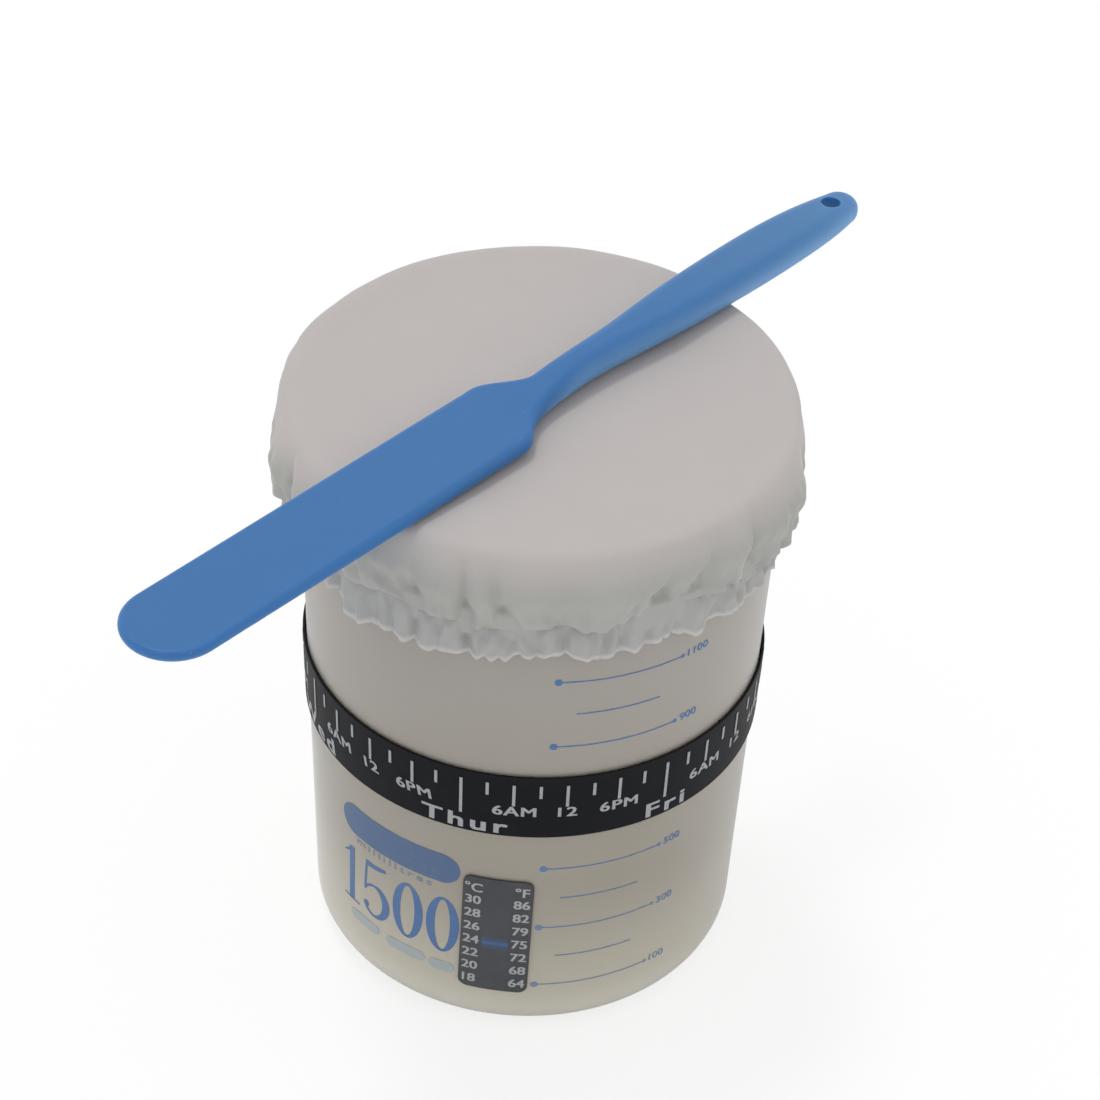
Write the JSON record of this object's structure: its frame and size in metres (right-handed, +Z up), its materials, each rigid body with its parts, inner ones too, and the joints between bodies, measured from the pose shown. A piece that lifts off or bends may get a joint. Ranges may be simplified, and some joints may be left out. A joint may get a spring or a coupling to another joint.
{
  "type": "sourdough starter jar",
  "caption": "Translucent drafted jar with a gathered cloth cover, a day and time band, a strip thermometer and a silicone spatula laid across the top.",
  "frame": {"origin": "middle of the jar's foot, on the surface that it stands on", "axes": "+Z up along the jar's axis; -Y is the front, with the thermometer strip and the printed scale; +X is to the right seen from the front"},
  "size_m": [0.1696, 0.1919, 0.1709],
  "materials": {
    "jar": "translucent, lightly frosted polypropylene",
    "adhesive": "clear sticky film",
    "crystal_cells": "dark liquid crystal ink, blue where it has turned",
    "thermometer_film": "dark printed film, satin",
    "band": "smooth matte silicone",
    "band_ink": "screen printed ink",
    "cloth": "fine plain weave",
    "tape": "woven tape",
    "elastic": "knitted over rubber",
    "thread": "spun sewing thread",
    "spatula": "satin silicone",
    "core": "plain strip"
  },
  "bodies": {
    "jar": {"jar_body": "jar", "thermometer_adhesive": "adhesive", "thermometer_crystal_cells": "crystal_cells", "thermometer_face": "thermometer_film"},
    "week_band": {"week_band": "band"},
    "week_band_scale": {"week_band_ticks": "band_ink"},
    "cover": {"cover_cloth": "cloth", "cover_casing_tape": "tape", "cover_elastic": "elastic", "cover_hem_thread": "thread"},
    "spatula": {"spatula_skin": "spatula", "spatula_core": "core"}
  },
  "joints": [
    {"name": "band_slide", "type": "slide", "parent": "jar", "child": "week_band", "axis": [0, 0, 1], "range_m": [-0.055, 0.022], "deforming": ["week_band", "week_band_ticks"]},
    {"name": "band_turn", "type": "hinge", "parent": "week_band", "child": "week_band_scale", "pos_m": [0, 0, 0.0805], "axis": [0, 0, 1], "continuous": true},
    {"name": "cover_lift", "type": "slide", "parent": "jar", "child": "cover", "axis": [0, 0, 1], "range_m": [0, 0.06], "deforming": ["cover_cloth", "cover_casing_tape", "cover_elastic", "cover_hem_thread"]},
    {"name": "spatula_lift", "type": "slide", "parent": "cover", "child": "spatula", "axis": [0, 0, 1], "range_m": [0, 0.08]}
  ]
}
